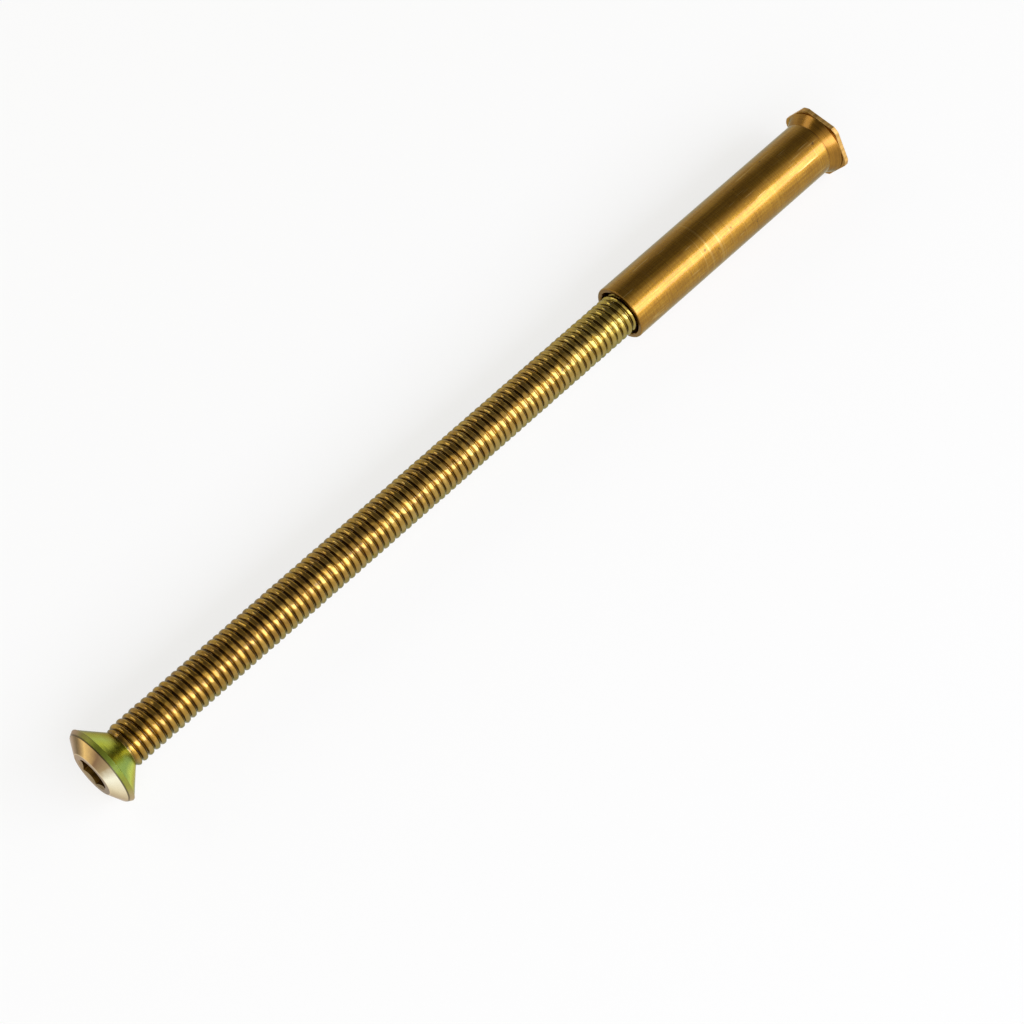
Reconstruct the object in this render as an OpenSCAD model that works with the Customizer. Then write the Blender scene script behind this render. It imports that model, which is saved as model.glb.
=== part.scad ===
// Through-bolt set: a countersunk bolt with a hexagon socket and a full-length thread,
// screwed part way into a sleeve nut with a hexagon head. It lies along X as it comes to rest,
// with the bolt's head at -X, and the origin is on the surface below the middle of its length.

/* [Thread] */
// Outer diameter of the bolt's thread
thread_d = 6; // [5:0.5:8]
// Advance of the thread in one turn
thread_pitch = 1; // [0.7:0.05:1.5]
// Gap all round between the bolt's thread and the tapped bore
thread_clearance = 0.06; // [0.02:0.01:0.1]

/* [Bolt head] */
// Largest diameter of the head, at the edge of the countersunk seat
head_d = 11.2; // [10:0.1:14]
// Included angle of the countersunk seat
seat_angle = 90; // [76:1:100]
// Height of the rim between the seat and the front bevel
rim_h = 0.6; // [0.4:0.1:2]
// How far the rim draws in towards the front, on the radius
rim_draw = 0.35; // [0.1:0.05:0.6]
// Height of the bevel in front of the rim
bevel_h = 1.15; // [0.6:0.05:2]
// Diameter of the flat front face
face_d = 6.4; // [5.8:0.1:8]

/* [Hexagon socket] */
// Size of the key, across flats
socket_af = 4; // [3:0.5:4.5]
// Depth of the socket's flats
socket_depth = 3; // [1.5:0.1:3.5]
// How far the socket's countersunk entry reaches past its corners, on the radius
socket_entry = 0.12; // [0.05:0.01:0.3]
// Turn of the socket about the axis, in degrees from flats that lie level
socket_turn = 24; // [0:1:60]

/* [Bolt shank] */
// Length of thread that shows between the head and the sleeve
thread_shown = 88.3; // [40:0.1:140]
// Length of bolt inside the sleeve
thread_engaged = 17; // [8:0.5:26]
// Depth of the neck under the head, where the thread runs out
neck_depth = 0.35; // [0.2:0.05:0.7]
// Width of the neck under the head, in turns of the thread
neck_turns = 0.3; // [0.2:0.1:1.5]

/* [Sleeve nut] */
// Length of the sleeve nut with its head
sleeve_length = 40; // [36:1:70]
// Wall of the sleeve at its mouth
sleeve_wall = 0.65; // [0.4:0.05:1.5]
// Bevel on the outer edge of the mouth
mouth_bevel = 0.2; // [0.1:0.05:0.35]
// How far the collar stands out from the sleeve, on the radius
collar_out = 0.8; // [0.5:0.05:2]
// Height of the collar's cone
collar_h = 1.3; // [0.6:0.1:3]
// Height of the straight edge round the collar
collar_edge_h = 0.15; // [0.1:0.05:0.5]
// How far each flat of the hexagon stands out from the sleeve
hex_out = 0.85; // [0.4:0.05:2]
// Height of the hexagon in front of the collar
hex_h = 0.65; // [0.4:0.05:3]
// How much is turned off the hexagon's corners, on the radius
hex_corner_cut = 0.25; // [0.05:0.05:0.5]

/* [Sleeve bore] */
// Gap all round between the bolt's thread and the counterbored mouth
mouth_clearance = 0.35; // [0.2:0.05:0.8]
// Depth of the counterbore, ahead of the tapped bore
mouth_depth = 2.5; // [1:0.5:6]
// Metal left between the drill point and the front of the hexagon
end_web = 2.5; // [1:0.5:5]
// Included angle of the drill point
drill_angle = 118; // [90:1:140]

/* [Hidden] */
$fn = 96;
hex_sides = 6;
cut = 0.5;
bolt_gold = [0.70, 0.56, 0.24];
sleeve_brass = [0.74, 0.54, 0.22];

thread_r = thread_d / 2;
// Depth of a 60 degree metric thread for each unit of pitch
thread_depth_per_pitch = 0.613;
thread_depth = thread_depth_per_pitch * thread_pitch;
tip_r = thread_r - thread_depth;
neck_r = thread_r - neck_depth;
neck_w = neck_turns * thread_pitch;
head_r = head_d / 2;
rim_front_r = head_r - rim_draw;
seat_h = (head_r - neck_r) / tan(seat_angle / 2);
rim_back = bevel_h + rim_h;
head_h = rim_back + seat_h;
bolt_length = head_h + thread_shown + thread_engaged;
socket_r = socket_af / 2 / cos(180 / hex_sides);
entry_r = socket_r + socket_entry;
entry_angle = 120;

bore_r = thread_r + thread_clearance;
mouth_r = thread_r + mouth_clearance;
sleeve_r = mouth_r + sleeve_wall;
collar_r = sleeve_r + collar_out;
hex_r = (sleeve_r + hex_out) / cos(180 / hex_sides);
collar_end = sleeve_length - hex_h;
collar_start = collar_end - collar_edge_h - collar_h;
drill_point_h = bore_r / tan(drill_angle / 2);
bore_depth = sleeve_length - end_web - drill_point_h;

face_x = -(head_h + thread_shown + sleeve_length) / 2;
mouth_x = face_x + head_h + thread_shown;
axis_z = max(head_r, collar_r, sleeve_r + hex_out);

// Stands a shape drawn along Z on the axis of the set, with its base at x
module on_axis(x) {
    translate([x, 0, axis_z])
        rotate([0, 90, 0])
            children();
}

// Hexagonal prism along Z with a flat underneath once it lies on the axis
module hexagon(corner_r, h) {
    rotate(180 / hex_sides)
        cylinder(h = h, r = corner_r, $fn = hex_sides);
}

// Half section of the bolt, as radius and distance from the front face
function bolt_section() = [
    [0, 0],
    [face_d / 2, 0],
    [rim_front_r, bevel_h],
    [head_r, rim_back],
    [neck_r, head_h],
    [neck_r, head_h + neck_w],
    [thread_r, head_h + neck_w + neck_depth],
    [thread_r, bolt_length - thread_depth],
    [tip_r, bolt_length],
    [0, bolt_length],
];

// Countersunk bolt, turned from one bar, with its thread at the outer diameter
module countersunk_bolt() {
    color(bolt_gold)
        on_axis(face_x)
            difference() {
                rotate_extrude()
                    polygon(bolt_section());
                socket();
            }
}

// Hexagon socket with a countersunk entry and a drilled bottom
module socket() {
    translate([0, 0, -cut])
        rotate(socket_turn)
            hexagon(socket_r, socket_depth + cut);
    cylinder(h = entry_r / tan(entry_angle / 2), r1 = entry_r, r2 = 0);
    translate([0, 0, socket_depth])
        cylinder(h = socket_af / 2 / tan(drill_angle / 2), r1 = socket_af / 2, r2 = 0);
}

// Half section of the sleeve, its collar and the core that carries the hexagon,
// as radius and distance from the mouth
function sleeve_section() = [
    [0, 0],
    [sleeve_r - mouth_bevel, 0],
    [sleeve_r, mouth_bevel],
    [sleeve_r, collar_start],
    [collar_r, collar_start + collar_h],
    [collar_r, collar_end],
    [sleeve_r, collar_end],
    [sleeve_r, collar_end + hex_h / 2],
    [0, collar_end + hex_h / 2],
];

// Half section of the counterbored, tapped and drilled hole in the sleeve
function bore_section() = [
    [0, -cut],
    [mouth_r, -cut],
    [mouth_r, mouth_depth],
    [bore_r, mouth_depth + mouth_r - bore_r],
    [bore_r, bore_depth],
    [0, bore_depth + drill_point_h],
];

// Hexagon of the sleeve's head with its corners turned down to a round
module turned_hexagon() {
    intersection() {
        hexagon(hex_r, hex_h);
        cylinder(h = hex_h, r = hex_r - hex_corner_cut);
    }
}

// Sleeve nut with a blind bore, a coned collar and a hexagon head, turned from one bar
module sleeve_nut() {
    color(sleeve_brass)
        on_axis(mouth_x)
            difference() {
                union() {
                    rotate_extrude()
                        polygon(sleeve_section());
                    translate([0, 0, collar_end])
                        turned_hexagon();
                }
                rotate_extrude()
                    polygon(bore_section());
            }
}

countersunk_bolt();
sleeve_nut();
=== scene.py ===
import bpy
import bmesh
import math
from mathutils import Matrix, Vector


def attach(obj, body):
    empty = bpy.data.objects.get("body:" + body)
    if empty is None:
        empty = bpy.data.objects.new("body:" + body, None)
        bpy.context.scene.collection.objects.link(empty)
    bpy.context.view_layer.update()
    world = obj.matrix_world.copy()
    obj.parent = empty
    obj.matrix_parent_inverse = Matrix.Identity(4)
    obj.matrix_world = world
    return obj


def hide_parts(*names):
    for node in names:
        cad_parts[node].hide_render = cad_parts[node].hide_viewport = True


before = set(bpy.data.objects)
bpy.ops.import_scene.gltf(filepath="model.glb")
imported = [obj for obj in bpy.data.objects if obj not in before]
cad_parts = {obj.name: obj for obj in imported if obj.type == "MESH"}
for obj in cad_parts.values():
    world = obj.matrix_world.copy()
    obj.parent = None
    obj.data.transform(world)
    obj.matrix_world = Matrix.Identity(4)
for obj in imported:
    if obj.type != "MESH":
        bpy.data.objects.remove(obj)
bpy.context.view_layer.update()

MM = 0.001
AXIS_Z = 5.6

# bolt, in millimetres from its front face
FACE_X = -66.5
FACE_R = 3.2
RIM_FRONT_R, RIM_FRONT_X = 5.25, 1.15
HEAD_R, RIM_BACK_X = 5.585, 1.75
NECK_R, HEAD_END_X = 2.65, 4.7
THREAD_R, PITCH, THREAD_DEPTH = 3.0, 1.0, 0.46
TIP_R, BOLT_LENGTH = 2.387, 110.0
SOCKET_AF, SOCKET_DEPTH, SOCKET_TURN = 4.0, 3.0, 24.0
ENTRY_R, ENTRY_HALF_ANGLE = 2.43, 60.0
BOLT_EDGE = 0.05
SOCKET_STEP, SOCKET_DRILL = 0.02, 1.2
SEAT_MID_X, SEAT_MID_IN = 3.2, 1.45
BOLT_COLUMNS = 60
# order of the bolt's materials
THREAD, SEAT, FACE, SOCKET = range(4)

# sleeve, in millimetres from its mouth
MOUTH_X = 26.5
SLEEVE_R, SLEEVE_LENGTH = 4.0, 40.0
COLLAR_R, COLLAR_START, COLLAR_END = 4.8, 37.9, 39.35
HEX_AF, HEX_CORNER_R = 9.7, 5.35
MOUTH_R, MOUTH_DEPTH = 3.35, 2.5
BORE_R, BORE_DEPTH, DRILL_END = 3.06, 35.66, 37.5
BORE_CONE = 0.29
SLEEVE_EDGE = 0.06
# rounded outer edge of the mouth, as distance from the mouth and radius
MOUTH_EDGE = ((0.0, 3.8), (0.025, 3.88), (0.1, 3.965), (0.2, SLEEVE_R))
TOOL_MARK = 0.12
HEX_BACK_EDGE, HEX_FRONT_EDGE = 0.05, 0.08
SLEEVE_COLUMNS = 144
# order of the sleeve's materials
BARREL, BORE, FLATS, COLLAR = range(4)

# edges sharper than this are drawn sharp, in degrees
SHARP_DEG = 12
# larger than any hexagon here, so that its corners stay whole
WHOLE_CORNERS = 99.0

# the angle round the axis, from +Y over the top, that faces the camera
CAMERA_SIDE = math.radians(113.9)


def hexagon(af, turn=0.0, corner_r=WHOLE_CORNERS):
    """Radius of a hexagon by angle, with a corner at the turn and corners turned down to corner_r."""
    def radius(angle):
        part = (angle - math.radians(turn)) % (math.pi / 3) - math.pi / 6
        return min(af / 2 / math.cos(part), corner_r)
    return radius


def ease(value):
    """Smooth step from 0 to 1."""
    value = min(max(value, 0.0), 1.0)
    return value * value * (3 - 2 * value)


class Lathe:
    """A closed mesh of rings round the axis, each ring one vertex per column."""

    def __init__(self, columns):
        self.columns = columns
        self.angles = [2 * math.pi * j / columns for j in range(columns)]
        self.verts = []
        self.faces = []
        self.zones = []

    def point(self, x, radius, angle):
        y = radius * math.cos(angle)
        z = AXIS_Z + radius * math.sin(angle)
        self.verts.append((x * MM, y * MM, z * MM))
        return len(self.verts) - 1

    def ring(self, x, radius):
        """radius is a number or a function of the angle."""
        get = radius if callable(radius) else (lambda angle: radius)
        return [self.point(x, get(a), a) for a in self.angles]

    def face(self, loop, zone):
        corners = []
        for v in loop:
            if v not in corners:
                corners.append(v)
        if len(corners) > 2:
            self.faces.append(corners)
            self.zones.append(zone)

    def join(self, a, b, zone):
        n = self.columns
        for j in range(n):
            k = (j + 1) % n
            self.face((a[j], a[k], b[k], b[j]), zone)

    def cap(self, x, ring, zone):
        centre = self.point(x, 0.0, 0.0)
        n = self.columns
        for j in range(n):
            self.face((centre, ring[j], ring[(j + 1) % n]), zone)

    def turn(self, rings, zone):
        """Joins rings given as (x, radius) and returns the first and last."""
        made = [self.ring(x, r) for x, r in rings]
        for a, b in zip(made, made[1:]):
            self.join(a, b, zone)
        return made[0], made[-1]

    def mesh(self, name, materials, sharp_zones):
        """The finished object, smooth but for the sharp edges inside the given zones."""
        data = bpy.data.meshes.new(name)
        data.from_pydata(self.verts, [], self.faces)
        for m in materials:
            data.materials.append(m)
        data.polygons.foreach_set("material_index", self.zones)
        data.polygons.foreach_set("use_smooth", [True] * len(self.faces))
        bm = bmesh.new()
        bm.from_mesh(data)
        bmesh.ops.recalc_face_normals(bm, faces=bm.faces)
        limit = math.radians(SHARP_DEG)
        for e in bm.edges:
            if len(e.link_faces) == 2:
                zones = {f.material_index for f in e.link_faces}
                if zones <= sharp_zones and e.calc_face_angle(0.0) > limit:
                    e.smooth = False
        bm.to_mesh(data)
        bm.free()
        obj = bpy.data.objects.new(name, data)
        bpy.context.scene.collection.objects.link(obj)
        return obj


# phases of one pitch at which the thread's rows run, with the crest at 0
PHASES = (0.0, 0.07, 0.16, 0.27, 0.36, 0.44, 0.5, 0.56, 0.64, 0.73, 0.84, 0.93)
CREST_POWER = 2.6
# rolling leaves a fine seam along the crest
SEAM = 0.022
# waves of the crest's wear, by turns of the helix, and their depth in millimetres
WEAR_RATES, WEAR = (2.31, 3.73, 5.17), 0.008
# how far from the thread's ends rows close on the end rings, and how the thread grows from the neck
SNAP, RUN_IN_START, RUN_IN = 0.02, 0.05, 0.75


def thread_cut(phase):
    """How far the thread is cut below its crest: wide round crests, narrow roots."""
    part = 2 * abs((phase + 0.5) % 1.0 - 0.5)
    return THREAD_DEPTH * part ** CREST_POWER + (SEAM if part == 0 else 0.0)


def thread_wear(turn):
    """Unevenness of the rolled crest along the helix, by turns from its start, always inwards."""
    waves = sum(math.sin(2 * math.pi * rate * turn + rate) for rate in WEAR_RATES)
    return WEAR * (len(WEAR_RATES) + waves)


def add_thread(lathe, first, last, x_first, x_last, zone):
    """A right-hand thread between two rings, on rows that follow the helix."""
    n, s = lathe.columns, len(PHASES)
    made = {}

    def vertex(i, j):
        if j == n:
            i, j = i + s, 0
        if (i, j) not in made:
            x = x_first + PITCH * (i // s + PHASES[i % s] + j / n)
            if x <= x_first + SNAP:
                made[i, j] = first[j]
            elif x >= x_last - SNAP:
                made[i, j] = last[j]
            else:
                run_in = ease((x - x_first + RUN_IN_START) / RUN_IN)
                cut = THREAD_R - thread_cut(PHASES[i % s]) - thread_wear(i // s + j / n)
                radius = min(NECK_R + run_in * (cut - NECK_R), TIP_R + x_last - x)
                made[i, j] = lathe.point(x, radius, lathe.angles[j])
        return made[i, j]

    turns = math.ceil((x_last - x_first) / PITCH)
    for i in range(-s, turns * s + s):
        for j in range(n):
            loop = (vertex(i, j), vertex(i, j + 1), vertex(i + 1, j + 1), vertex(i + 1, j))
            lathe.face(loop, zone)


def build_bolt(materials):
    """The bolt from the bottom of its socket over the head and along the thread to the tip."""
    b = Lathe(BOLT_COLUMNS)
    x = FACE_X
    flats = hexagon(SOCKET_AF, SOCKET_TURN)
    slope = math.tan(math.radians(ENTRY_HALF_ANGLE))
    bottom = b.ring(x + SOCKET_DEPTH, flats)
    drilled = b.ring(x + SOCKET_DEPTH, SOCKET_AF / 2 - SOCKET_STEP)
    b.cap(x + SOCKET_DEPTH + SOCKET_DRILL, drilled, SOCKET)
    b.join(drilled, bottom, SOCKET)
    # the coned entry meets the flats lower than the corners
    mouth = [b.point(x + (ENTRY_R - flats(a)) / slope, flats(a), a) for a in b.angles]
    b.join(bottom, mouth, SOCKET)
    face_in = b.ring(x, ENTRY_R)
    b.join(mouth, face_in, FACE)
    soft = BOLT_EDGE
    front, rim = b.turn([(x, FACE_R - soft), (x + 0.5 * soft, FACE_R + 0.6 * soft),
                         (x + RIM_FRONT_X - 0.7 * soft, RIM_FRONT_R - soft),
                         (x + RIM_FRONT_X + soft, RIM_FRONT_R + 0.5 * soft),
                         (x + RIM_BACK_X - soft, HEAD_R - 0.6 * soft),
                         (x + RIM_BACK_X, HEAD_R)], FACE)
    b.join(face_in, front, FACE)
    seat_edge, seat_end = b.turn([(x + RIM_BACK_X + 0.08, HEAD_R - 0.03),
                                  (x + RIM_BACK_X + 0.13, HEAD_R - 0.12),
                                  (x + SEAT_MID_X, HEAD_R - SEAT_MID_IN),
                                  (x + HEAD_END_X - 0.06, NECK_R + 0.06)], SEAT)
    b.join(rim, seat_edge, FACE)
    neck = b.ring(x + HEAD_END_X, NECK_R)
    b.join(seat_end, neck, SEAT)
    tip = b.ring(x + BOLT_LENGTH, TIP_R)
    add_thread(b, neck, tip, x + HEAD_END_X, x + BOLT_LENGTH, THREAD)
    b.cap(x + BOLT_LENGTH, tip, THREAD)
    return b.mesh("bolt_body", materials, {SEAT, FACE, SOCKET})


def build_sleeve(materials):
    """The sleeve from the bottom of its bore out of the mouth and along the barrel to the hexagon."""
    s = Lathe(SLEEVE_COLUMNS)
    x = MOUTH_X
    soft = SLEEVE_EDGE
    flats = hexagon(HEX_AF, 0.0, HEX_CORNER_R)
    drilled, inner = s.turn([(x + BORE_DEPTH, BORE_R), (x + MOUTH_DEPTH + BORE_CONE, BORE_R),
                             (x + MOUTH_DEPTH, MOUTH_R), (x + 2 * soft, MOUTH_R)], BORE)
    s.cap(x + DRILL_END, drilled, BORE)
    edge_in, edge_out = s.turn([(x, MOUTH_R + 1.5 * soft)] + [(x + d, r) for d, r in MOUTH_EDGE], BARREL)
    s.join(inner, edge_in, BARREL)
    barrel_in, barrel_out = s.turn([(x + 0.24, SLEEVE_R), (x + COLLAR_START - 0.22, SLEEVE_R),
                                    (x + COLLAR_START - 0.18, SLEEVE_R - 0.03)], BARREL)
    s.join(edge_out, barrel_in, BARREL)
    # a tool mark where the barrel meets the collar
    collar_in, collar_out = s.turn([(x + COLLAR_START - 0.13, SLEEVE_R - TOOL_MARK),
                                    (x + COLLAR_START - 0.04, SLEEVE_R - TOOL_MARK),
                                    (x + COLLAR_START + 0.08, SLEEVE_R - 0.01),
                                    (x + COLLAR_START + 0.7, SLEEVE_R + 0.40),
                                    (x + COLLAR_END - 0.18, COLLAR_R - 0.03),
                                    (x + COLLAR_END - 0.14, COLLAR_R),
                                    (x + COLLAR_END, COLLAR_R)], COLLAR)
    s.join(barrel_out, collar_in, BARREL)

    def lowered(cut):
        return lambda angle: flats(angle) - cut

    hex_in, hex_out = s.turn([(x + COLLAR_END, lowered(HEX_BACK_EDGE)),
                              (x + COLLAR_END + HEX_BACK_EDGE, flats),
                              (x + SLEEVE_LENGTH - HEX_FRONT_EDGE, flats),
                              (x + SLEEVE_LENGTH, lowered(HEX_FRONT_EDGE))], FLATS)
    s.join(collar_out, hex_in, BARREL)
    s.cap(x + SLEEVE_LENGTH, hex_out, BARREL)
    return s.mesh("sleeve_body", materials, {BARREL, BORE, FLATS, COLLAR})


class Nodes:
    """Short way to write a material's nodes."""

    def __init__(self, name):
        self.material = bpy.data.materials.new(name)
        self.material.use_nodes = True
        self.tree = self.material.node_tree
        self.shader = self.tree.nodes["Principled BSDF"]
        coords = self.add("ShaderNodeTexCoord")
        self.mm = self.add("ShaderNodeVectorMath", operation="SCALE")
        self.put(coords.outputs["Object"], self.mm.inputs[0])
        self.mm.inputs["Scale"].default_value = 1000.0
        self.place = self.add("ShaderNodeSeparateXYZ")
        self.put(self.mm.outputs[0], self.place.inputs[0])

    def add(self, kind, **settings):
        node = self.tree.nodes.new(kind)
        for key, value in settings.items():
            setattr(node, key, value)
        return node

    def put(self, value, socket):
        if isinstance(value, bpy.types.NodeSocket):
            self.tree.links.new(value, socket)
        else:
            socket.default_value = value

    def math(self, operation, a, b=0.0, c=0.0):
        node = self.add("ShaderNodeMath", operation=operation)
        for value, socket in zip((a, b, c), node.inputs):
            self.put(value, socket)
        return node.outputs[0]

    def blend(self, *parts):
        """Sum of (value, weight) parts."""
        total = 0.0
        for value, weight in parts:
            total = self.math("MULTIPLY_ADD", value, weight, total)
        return total

    def turned(self):
        """Place with the radius added along X: marks run round a turned side and a faced end alike."""
        node = self.add("ShaderNodeCombineXYZ")
        self.put(self.math("ADD", self.place.outputs["X"], self.radius()), node.inputs["X"])
        for axis in ("Y", "Z"):
            self.put(self.place.outputs[axis], node.inputs[axis])
        return node.outputs[0]

    def noise(self, stretch, detail=2.0, rough=0.5, shift=0.0, at=None):
        """Noise by place, with so many grains per millimetre along X, Y and Z."""
        place = self.add("ShaderNodeVectorMath", operation="MULTIPLY_ADD")
        self.put(at or self.mm.outputs[0], place.inputs[0])
        place.inputs[1].default_value = stretch
        place.inputs[2].default_value = (shift, 0.7 * shift, -1.3 * shift)
        node = self.add("ShaderNodeTexNoise")
        self.put(place.outputs[0], node.inputs["Vector"])
        node.inputs["Scale"].default_value = 1.0
        node.inputs["Detail"].default_value = detail
        node.inputs["Roughness"].default_value = rough
        return node.outputs["Fac"]

    def angle(self):
        """Angle round the axis as a part of a turn, 0.5 on the side that the photograph shows."""
        up = self.math("SUBTRACT", self.place.outputs["Z"], AXIS_Z)
        turn = self.math("ARCTAN2", up, self.place.outputs["Y"])
        turn = self.math("WRAP", self.math("SUBTRACT", turn, CAMERA_SIDE), math.pi, -math.pi)
        return self.math("MULTIPLY_ADD", turn, 0.5 / math.pi, 0.5)

    def across(self):
        """Distance from the axis to the lower side of the photograph, in millimetres."""
        up = self.math("SUBTRACT", self.place.outputs["Z"], AXIS_Z)
        return self.blend((self.place.outputs["Y"], -math.sin(CAMERA_SIDE)), (up, math.cos(CAMERA_SIDE)))

    def radius(self):
        """Distance from the axis in millimetres."""
        up = self.math("SUBTRACT", self.place.outputs["Z"], AXIS_Z)
        square = self.math("MULTIPLY_ADD", up, up, self.math("POWER", self.place.outputs["Y"], 2.0))
        return self.math("SQRT", square)

    def ramp(self, fac, stops):
        """Colour by value, from (value, colour) stops."""
        node = self.add("ShaderNodeValToRGB")
        self.put(fac, node.inputs[0])
        points = node.color_ramp.elements
        while len(points) < len(stops):
            points.new(0.5)
        for point, (place, colour) in zip(points, stops):
            point.position = place
            point.color = (*colour, 1.0)
        return node.outputs[0]

    def span(self, value, low, high, out_low, out_high):
        """The value's way from low to high, as a way from out_low to out_high."""
        node = self.add("ShaderNodeMapRange")
        for v, socket in zip((value, low, high, out_low, out_high), node.inputs):
            self.put(v, socket)
        return node.outputs[0]

    def mix(self, fac, a, b):
        """Colour a with b laid over it by the factor."""
        node = self.add("ShaderNodeMix", data_type="RGBA")
        self.put(fac, node.inputs[0])
        for value, socket in zip((a, b), (s for s in node.inputs if s.type == "RGBA")):
            self.put(value if isinstance(value, bpy.types.NodeSocket) else (*value, 1.0), socket)
        return next(s for s in node.outputs if s.type == "RGBA")

    def bump(self, height, strength, distance_mm):
        node = self.add("ShaderNodeBump")
        self.put(height, node.inputs["Height"])
        node.inputs["Strength"].default_value = strength
        node.inputs["Distance"].default_value = distance_mm * MM
        self.put(node.outputs[0], self.shader.inputs["Normal"])

    def finish(self, colour, rough, edge=(1.0, 1.0, 1.0), coat=0.0, coat_rough=0.3):
        self.put(colour, self.shader.inputs["Base Color"])
        self.put(rough, self.shader.inputs["Roughness"])
        self.shader.inputs["Metallic"].default_value = 1.0
        self.shader.inputs["Specular Tint"].default_value = (*edge, 1.0)
        self.shader.inputs["Coat Weight"].default_value = coat
        self.shader.inputs["Coat Roughness"].default_value = coat_rough
        return self.material


# wear that shows as bright metal on the brass, and dark dirt
PALE_BRASS = (0.62, 0.42, 0.14)
PIT = (0.05, 0.022, 0.004)


def brass():
    """The barrel: turned rings, drawn streaks, scratches and pits."""
    n = Nodes("turned_brass")
    turned = n.turned()
    rings = n.noise((9.0, 0.1, 0.1), 3.0, 0.6, 0.0, turned)
    hatch = n.noise((2.6, 0.15, 0.15), 2.0, 0.5, 21.0, turned)
    drawn = n.noise((0.14, 4.5, 4.5), 2.0, 0.5, 31.0)
    cloud = n.noise((0.25, 0.4, 0.4), 3.0, 0.55, 3.0)
    grain = n.noise((6.0, 5.0, 5.0), 2.0, 0.6, 11.0)
    tone = n.blend((rings, 0.14), (hatch, 0.14), (drawn, 0.3), (cloud, 0.2), (grain, 0.22))
    colour = n.ramp(tone, [(0.38, (0.25, 0.112, 0.006)), (0.5, (0.33, 0.160, 0.010)),
                           (0.62, (0.43, 0.226, 0.020))])
    # a few pale turning lines, lengthwise scratches and dark pits
    lines = n.span(n.noise((1.6, 0.03, 0.03), 1.0, 0.5, 41.0), 0.68, 0.74, 0.0, 0.22)
    colour = n.mix(lines, colour, PALE_BRASS)
    scratch = n.span(n.noise((0.22, 3.2, 3.2), 1.0, 0.5, 57.0), 0.68, 0.74, 0.0, 0.45)
    colour = n.mix(scratch, colour, PALE_BRASS)
    pits = n.span(n.noise((1.1, 1.1, 1.1), 1.0, 0.5, 9.0), 0.74, 0.78, 0.0, 0.6)
    colour = n.mix(pits, colour, PIT)
    # painted shade: the faced ring at the mouth is darker
    ring = n.span(n.place.outputs["X"], MOUTH_X + 0.02, MOUTH_X + 0.09, 0.6, 0.0)
    colour = n.mix(ring, colour, (0.13, 0.056, 0.006))
    rough = n.span(rings, 0.3, 0.7, 0.24, 0.36)
    n.bump(n.blend((rings, 0.3), (hatch, 0.2), (drawn, 0.3), (grain, 0.2)), 0.6, 0.02)
    return n.finish(colour, rough, (0.48, 0.52, 0.32), 0.5, 0.12)


def brass_collar():
    """The coned collar, smoother than the barrel and darker, the darker colour painted shade."""
    n = Nodes("collar_brass")
    rings = n.noise((6.0, 0.1, 0.1), 3.0, 0.6, 17.0)
    cloud = n.noise((0.5, 0.5, 0.5), 3.0, 0.55, 23.0)
    tone = n.blend((rings, 0.5), (cloud, 0.5))
    colour = n.ramp(tone, [(0.35, (0.21, 0.092, 0.006)), (0.65, (0.34, 0.160, 0.014))])
    rough = n.span(rings, 0.3, 0.7, 0.22, 0.30)
    n.bump(rings, 0.12, 0.015)
    return n.finish(colour, rough, (0.48, 0.50, 0.30), 0.35, 0.16)


def brass_flats():
    """The hexagon's flats, dull as drawn."""
    n = Nodes("hexagon_brass")
    drawn = n.noise((0.4, 3.0, 3.0), 3.0, 0.6, 13.0)
    colour = n.ramp(drawn, [(0.35, (0.42, 0.235, 0.046)), (0.65, (0.60, 0.355, 0.090))])
    rough = n.span(drawn, 0.3, 0.7, 0.45, 0.6)
    n.bump(drawn, 0.25, 0.02)
    return n.finish(colour, rough, (0.7, 0.55, 0.4), 0.5, 0.4)


def brass_inside():
    """The bore and its counterbored mouth."""
    n = Nodes("bore_brass")
    rings = n.noise((5.0, 0.15, 0.15), 3.0, 0.6)
    colour = n.ramp(rings, [(0.3, (0.20, 0.09, 0.018)), (0.7, (0.32, 0.16, 0.030))])
    rough = n.span(rings, 0.3, 0.7, 0.4, 0.55)
    n.bump(rings, 0.4, 0.03)
    return n.finish(colour, rough, (0.6, 0.5, 0.4))


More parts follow.
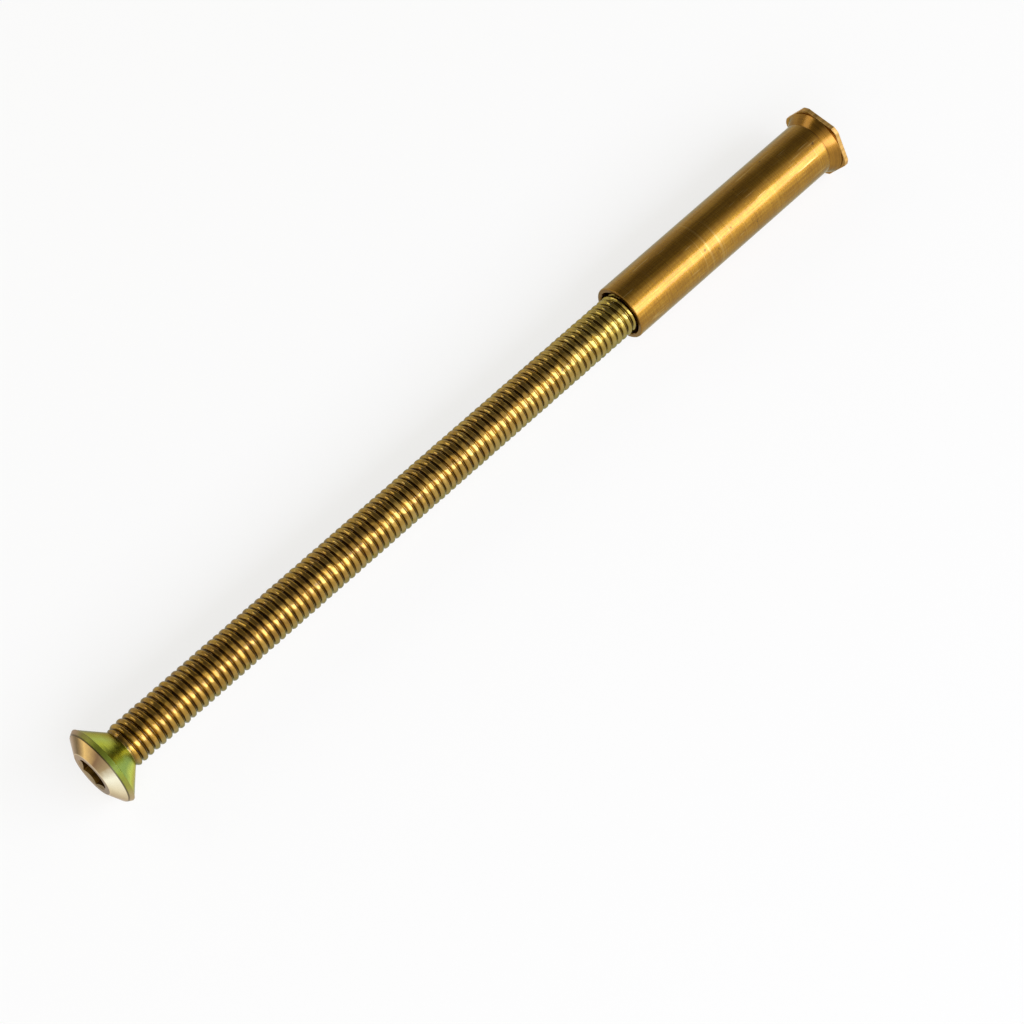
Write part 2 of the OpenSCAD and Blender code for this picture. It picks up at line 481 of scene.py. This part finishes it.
def thread_gold():
    """The thread: warm gold by the head, greener towards the sleeve."""
    n = Nodes("passivated_thread")
    cloud = n.noise((0.5, 0.5, 0.5), 3.0, 0.6)
    fine = n.noise((5.0, 0.8, 0.8), 2.0, 0.5, 5.0)
    rolled = n.noise((3.4, 0.45, 0.45), 1.0, 0.5, 13.0)
    wave = n.noise((0.9, 0.9, 0.9), 0.0, 0.5, 29.0)
    green = n.span(n.blend((n.place.outputs["X"], 1.0), (cloud, 30.0)), -45.0, 45.0, 0.0, 1.0)
    warm = n.ramp(cloud, [(0.35, (0.27, 0.138, 0.012)), (0.5, (0.335, 0.180, 0.018)),
                          (0.65, (0.40, 0.226, 0.027))])
    cool = n.ramp(cloud, [(0.35, (0.33, 0.186, 0.027)), (0.5, (0.39, 0.239, 0.043)),
                          (0.65, (0.42, 0.280, 0.067))])
    colour = n.mix(green, warm, cool)
    # greenest just before the sleeve
    colour = n.mix(n.span(n.place.outputs["X"], 11.0, 26.0, 0.0, 0.6), colour, (0.36, 0.285, 0.045))
    # the crests are worn a little paler; the roots are darkened with painted shade, least of it on top by
    # the sleeve
    out = n.radius()
    colour = n.mix(n.span(out, THREAD_R - 0.06, THREAD_R - 0.01, 0.0, 0.16), colour, (0.48, 0.34, 0.11))
    side = n.math("ABSOLUTE", n.math("SUBTRACT", n.across(), 0.6))
    deep = n.span(out, THREAD_R - 0.40, THREAD_R - 0.14, 1.0, 0.0)
    top = n.span(n.place.outputs["X"], -45.0, 5.0, 0.8, 0.25)
    low = n.span(n.place.outputs["X"], 0.0, 24.0, 0.92, 0.7)
    painted_root_shade = n.math("MULTIPLY", deep, n.span(side, 0.4, 1.2, top, low))
    colour = n.mix(painted_root_shade, colour, (0.095, 0.052, 0.007))
    # painted reflection: a paler, greener tint on the lower side
    lower = n.blend((n.across(), 1.0), (cloud, 1.0))
    colour = n.mix(n.span(lower, 2.5, 3.5, 0.0, 0.75), colour, (0.33, 0.29, 0.12))
    # duller towards the head
    rough = n.blend((n.span(fine, 0.3, 0.7, 0.12, 0.20), 1.0),
                    (n.span(n.place.outputs["X"], -50.0, -10.0, 1.0, 0.0), 0.07))
    n.bump(n.blend((rolled, 0.5), (wave, 1.0)), 1.0, 0.14)
    return n.finish(colour, rough, (0.38, 0.40, 0.24), 0.45, 0.10)


def seat_green():
    """The countersunk seat, with green and yellow tints that change round the axis and painted reflections
    among them.
    """
    n = Nodes("passivated_seat")
    streak = n.noise((7.0, 0.6, 0.6), 3.0, 0.6)
    cloud = n.noise((0.45, 0.33, 0.33), 2.0, 0.5, 4.0)
    turn = n.blend((n.angle(), 1.0), (cloud, 0.10), (streak, 0.03))
    turn = n.math("SUBTRACT", turn, 0.065)
    # painted reflection: the dark band round 0.5, where the seat faces the camera, stands for the thread
    # mirrored in it
    colour = n.ramp(turn, [
        (0.08, (0.44, 0.42, 0.07)), (0.32, (0.12, 0.10, 0.03)), (0.36, (0.37, 0.32, 0.04)),
        (0.41, (0.42, 0.49, 0.11)), (0.455, (0.46, 0.49, 0.05)), (0.485, (0.13, 0.16, 0.015)),
        (0.505, (0.15, 0.20, 0.018)), (0.535, (0.28, 0.37, 0.04)), (0.56, (0.29, 0.41, 0.09)),
        (0.59, (0.28, 0.40, 0.10)), (0.625, (0.62, 0.70, 0.14)), (0.665, (0.60, 0.52, 0.08)),
        (0.71, (0.34, 0.38, 0.18)), (0.92, (0.44, 0.42, 0.07))])
    # golden brown by the neck on the upper side
    near = n.span(n.radius(), NECK_R + 0.2, NECK_R + 1.6, 0.9, 0.0)
    near = n.math("MULTIPLY", near, n.span(turn, 0.39, 0.47, 1.0, 0.0))
    colour = n.mix(near, colour, (0.29, 0.17, 0.018))
    rough = n.span(streak, 0.3, 0.7, 0.2, 0.32)
    n.bump(streak, 0.25, 0.015)
    return n.finish(colour, rough, (0.55, 0.56, 0.34), 0.2, 0.2)


def face_tan():
    """The head's flat face, bevel and rim, each with its own tints, with painted highlights, reflections
    and shade among them.
    """
    n = Nodes("passivated_face")
    cloud = n.noise((0.5, 0.5, 0.5), 3.0, 0.55)
    fine = n.noise((4.0, 4.0, 4.0), 3.0, 0.6, 5.0)
    turn = n.math("SUBTRACT", n.blend((n.angle(), 1.0), (cloud, 0.06)), 0.03)
    # painted highlight and reflection: the cream stop near 0.575 is a painted highlight, the dark stop
    # near 0.31 a painted dark reflection
    bevel = n.ramp(turn, [
        (0.10, (0.52, 0.36, 0.15)), (0.25, (0.42, 0.28, 0.14)), (0.31, (0.13, 0.085, 0.025)),
        (0.34, (0.30, 0.19, 0.07)), (0.385, (0.90, 0.58, 0.19)), (0.46, (0.23, 0.127, 0.055)),
        (0.52, (0.40, 0.29, 0.14)), (0.575, (1.0, 0.96, 0.74)), (0.655, (0.84, 0.74, 0.49)),
        (0.75, (0.46, 0.36, 0.18)), (0.90, (0.52, 0.36, 0.15))])
    # painted shade: the rim is darkest near 0.51, where it faces the camera
    rim = n.ramp(turn, [
        (0.30, (0.34, 0.23, 0.13)), (0.36, (0.24, 0.21, 0.05)), (0.42, (0.30, 0.32, 0.04)),
        (0.47, (0.18, 0.21, 0.02)), (0.51, (0.10, 0.13, 0.01)), (0.56, (0.14, 0.18, 0.015)),
        (0.64, (0.32, 0.31, 0.05)), (0.70, (0.46, 0.36, 0.18))])
    # painted shade: the flat face darkens towards the lower side
    flat = n.ramp(n.span(n.blend((n.across(), 1.0), (cloud, 1.5)), -3.2, 4.7, 0.0, 1.0),
                  [(0.1, (0.37, 0.245, 0.115)), (0.5, (0.32, 0.24, 0.13)), (0.85, (0.14, 0.10, 0.04))])
    out = n.radius()
    colour = n.mix(n.span(out, FACE_R - 0.04, FACE_R + 0.04, 0.0, 1.0), flat, bevel)
    colour = n.mix(n.span(out, RIM_FRONT_R - 0.04, RIM_FRONT_R + 0.04, 0.0, 1.0), colour, rim)
    # painted shade: a dark line where the rim starts; and a pale line round the flat face
    line = n.math("ABSOLUTE", n.math("SUBTRACT", out, RIM_FRONT_R))
    colour = n.mix(n.span(line, 0.03, 0.09, 0.85, 0.0), colour, (0.05, 0.035, 0.012))
    pale_line_gap = n.math("ABSOLUTE", n.math("SUBTRACT", out, FACE_R))
    colour = n.mix(n.span(pale_line_gap, 0.02, 0.12, 0.7, 0.0), colour, (0.80, 0.66, 0.42))
    # the rim is duller than the bevel
    rough = n.blend((n.span(fine, 0.3, 0.7, 0.14, 0.24), 1.0),
                    (n.span(out, RIM_FRONT_R - 0.02, RIM_FRONT_R + 0.06, 0.0, 1.0), 0.22))
    n.bump(fine, 0.12, 0.01)
    return n.finish(colour, rough, (0.7, 0.6, 0.5), 0.3, 0.2)


def socket_brown():
    """The inside of the hexagon socket, coloured dark brown as painted shade in the recess."""
    n = Nodes("passivated_socket")
    cloud = n.noise((1.2, 1.2, 1.2), 3.0, 0.6)
    colour = n.ramp(cloud, [(0.3, (0.12, 0.058, 0.006)), (0.7, (0.21, 0.105, 0.014))])
    rough = n.span(cloud, 0.3, 0.7, 0.35, 0.5)
    n.bump(cloud, 0.2, 0.03)
    return n.finish(colour, rough, (0.6, 0.5, 0.4))


bolt = build_bolt([thread_gold(), seat_green(), face_tan(), socket_brown()])
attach(bolt, "bolt")
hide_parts("countersunk_bolt")

sleeve = build_sleeve([brass(), brass_inside(), brass_flats(), brass_collar()])
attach(sleeve, "sleeve")
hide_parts("sleeve_nut")


FLOOR_REACH, FLOOR_GAP = 12000.0, 0.01
FLOOR_COLOUR, FLOOR_GLOW = (0.203, 0.196, 0.166), 0.752
# where the hexagon rests, in millimetres from its end
HEX_REST = 0.3


def build_floor():
    """A pale floor under the two places that the set lies on: the head's rim and a flat of the hexagon."""
    x_head, z_head = FACE_X + RIM_BACK_X, AXIS_Z - HEAD_R
    x_hex, z_hex = MOUTH_X + SLEEVE_LENGTH - HEX_REST, AXIS_Z - HEX_AF / 2
    slope = (z_hex - z_head) / (x_hex - x_head)
    corners = []
    for sx, sy in ((-1, -1), (1, -1), (1, 1), (-1, 1)):
        x, y = sx * FLOOR_REACH, sy * FLOOR_REACH
        corners.append((x * MM, y * MM, (z_head + slope * (x - x_head) - FLOOR_GAP) * MM))
    data = bpy.data.meshes.new("floor")
    data.from_pydata(corners, [], [(0, 1, 2, 3)])
    obj = bpy.data.objects.new("floor", data)
    bpy.context.scene.collection.objects.link(obj)
    mat = bpy.data.materials.new("pale_floor")
    mat.use_nodes = True
    tree = mat.node_tree
    tree.nodes.clear()
    out = tree.nodes.new("ShaderNodeOutputMaterial")
    lit = tree.nodes.new("ShaderNodeBsdfDiffuse")
    lit.inputs["Color"].default_value = (*FLOOR_COLOUR, 1.0)
    glow = tree.nodes.new("ShaderNodeEmission")
    path = tree.nodes.new("ShaderNodeLightPath")
    seen = None
    for ray in ("Is Camera Ray", "Is Glossy Ray", "Is Transmission Ray"):
        if seen is None:
            seen = path.outputs[ray]
        else:
            most = tree.nodes.new("ShaderNodeMath")
            most.operation = "MAXIMUM"
            tree.links.new(seen, most.inputs[0])
            tree.links.new(path.outputs[ray], most.inputs[1])
            seen = most.outputs[0]
    level = tree.nodes.new("ShaderNodeMath")
    level.operation = "MULTIPLY"
    tree.links.new(seen, level.inputs[0])
    level.inputs[1].default_value = FLOOR_GLOW
    tree.links.new(level.outputs[0], glow.inputs["Strength"])
    both = tree.nodes.new("ShaderNodeAddShader")
    tree.links.new(lit.outputs[0], both.inputs[0])
    tree.links.new(glow.outputs[0], both.inputs[1])
    tree.links.new(both.outputs[0], out.inputs["Surface"])
    data.materials.append(mat)


def area_lamp(name, place, size, radiance):
    """A soft box that faces the middle of the set, with its length along X."""
    data = bpy.data.lights.new(name, "AREA")
    data.shape = "RECTANGLE"
    data.size, data.size_y = size[0] * MM, size[1] * MM
    data.color = [v / max(radiance) for v in radiance]
    data.energy = max(radiance) * math.pi * data.size * data.size_y
    obj = bpy.data.objects.new(name, data)
    bpy.context.scene.collection.objects.link(obj)
    obj.location = [v * MM for v in place]
    back = Vector(place).normalized()
    up = back.cross(Vector((1, 0, 0))).normalized()
    obj.rotation_euler = Matrix((up.cross(back), up, back)).transposed().to_euler()


STRIP_PLACE, STRIP_SIZE, STRIP_RADIANCE = (60.0, -701.0, 494.0), (2200.0, 470.0), (3.45, 3.8, 5.4)
BACK_PLACE, BACK_SIZE, BACK_RADIANCE = (-300.0, 620.0, 460.0), (420.0, 320.0), (1.8, 1.8, 1.8)
ROOM_COLOUR = (1.0, 0.98, 0.95)
# the room's light by height, and the glow round the strip by nearness: from, to, light at each
HORIZON = (0.2, 0.6, 0.66, 0.145)
STRIP_GLOW = (0.5, 0.97, 0.0, 0.9)


def build_light():
    """A long soft box along the set, a small one behind it, and a dim room."""
    world = bpy.context.scene.world or bpy.data.worlds.new("studio")
    bpy.context.scene.world = world
    world.use_nodes = True
    tree = world.node_tree
    tree.nodes.clear()
    out = tree.nodes.new("ShaderNodeOutputWorld")
    back = tree.nodes.new("ShaderNodeBackground")
    coords = tree.nodes.new("ShaderNodeTexCoord")
    place = tree.nodes.new("ShaderNodeSeparateXYZ")
    tree.links.new(coords.outputs["Generated"], place.inputs[0])
    steps = []
    for operation, other in (("MULTIPLY", (0.0, 1.0, 1.0)), ("NORMALIZE", None),
                             ("DOT_PRODUCT", Vector((0.0, *STRIP_PLACE[1:])).normalized())):
        step = tree.nodes.new("ShaderNodeVectorMath")
        step.operation = operation
        tree.links.new(steps[-1].outputs[0] if steps else coords.outputs["Generated"], step.inputs[0])
        if other:
            step.inputs[1].default_value = other
        steps.append(step)
    horizon = tree.nodes.new("ShaderNodeMapRange")
    glow = tree.nodes.new("ShaderNodeMapRange")
    glow.interpolation_type = "SMOOTHSTEP"
    for node, value, settings in ((horizon, place.outputs["Z"], HORIZON),
                                  (glow, steps[-1].outputs["Value"], STRIP_GLOW)):
        tree.links.new(value, node.inputs[0])
        for setting, socket in zip(settings, list(node.inputs)[1:5]):
            socket.default_value = setting
    level = tree.nodes.new("ShaderNodeMath")
    tree.links.new(horizon.outputs[0], level.inputs[0])
    tree.links.new(glow.outputs[0], level.inputs[1])
    tree.links.new(level.outputs[0], back.inputs["Strength"])
    back.inputs["Color"].default_value = (*ROOM_COLOUR, 1.0)
    tree.links.new(back.outputs[0], out.inputs["Surface"])
    area_lamp("strip", STRIP_PLACE, STRIP_SIZE, STRIP_RADIANCE)
    area_lamp("back_box", BACK_PLACE, BACK_SIZE, BACK_RADIANCE)


build_floor()
build_light()

# the photograph's view: angles in degrees, distance in millimetres, focal length and frame in pixels
AZ, EL, DISTANCE, FOCAL_PX, FRAME_PX = -46.024, 59.525, 365.6, 2891.7, 1024
SENSOR_WIDTH = 36.0
TARGET = Vector((-5.158, -10.871, 5.6))
az, el = math.radians(AZ), math.radians(EL)
away = Vector((math.sin(az) * math.cos(el), -math.cos(az) * math.cos(el), math.sin(el)))
camera_data = bpy.data.cameras.new("camera")
camera_data.sensor_width = SENSOR_WIDTH
camera_data.lens = SENSOR_WIDTH * FOCAL_PX / FRAME_PX
camera_data.clip_start, camera_data.clip_end = 0.01, 40.0
camera = bpy.data.objects.new("camera", camera_data)
bpy.context.scene.collection.objects.link(camera)
camera.location = (TARGET + away * DISTANCE) * MM
camera.rotation_euler = (math.radians(90.0 - EL), 0.0, az)
bpy.context.scene.camera = camera
bpy.context.scene.view_settings.view_transform = "Standard"
